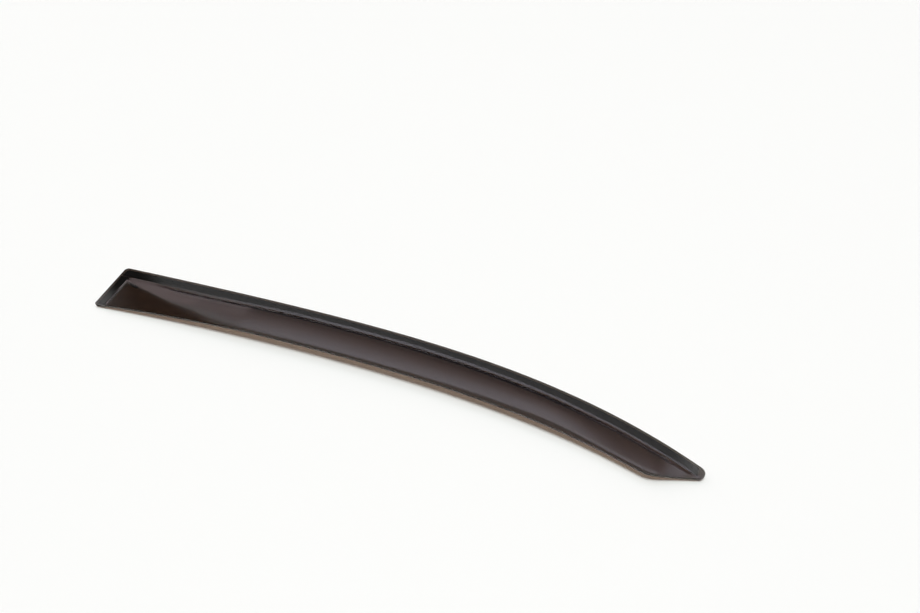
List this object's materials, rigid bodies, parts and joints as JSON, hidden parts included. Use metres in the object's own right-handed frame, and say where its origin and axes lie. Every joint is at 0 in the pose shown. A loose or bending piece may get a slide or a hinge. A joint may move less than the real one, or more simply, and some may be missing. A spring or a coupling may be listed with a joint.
{
  "type": "window rain deflector",
  "caption": "Thin curved visor of smoked acrylic for a car's rear side window, with a flat taped flange, a raised body and a closed sloping end.",
  "frame": {"origin": "centre of the bounding box, at the underside of the foam tape", "axes": "+X along the visor from its wide closed end to its tip, +Y to the convex upper edge, +Z away from the window glass"},
  "size_m": [0.643, 0.091, 0.0125],
  "materials": {
    "smoked_acrylic": "polished, smoke brown, see-through",
    "foam_tape": "matt black closed-cell foam"
  },
  "bodies": {
    "root": {"visor_shell": "smoked_acrylic", "upper_tape": "foam_tape", "end_tape": "foam_tape"}
  },
  "joints": []
}
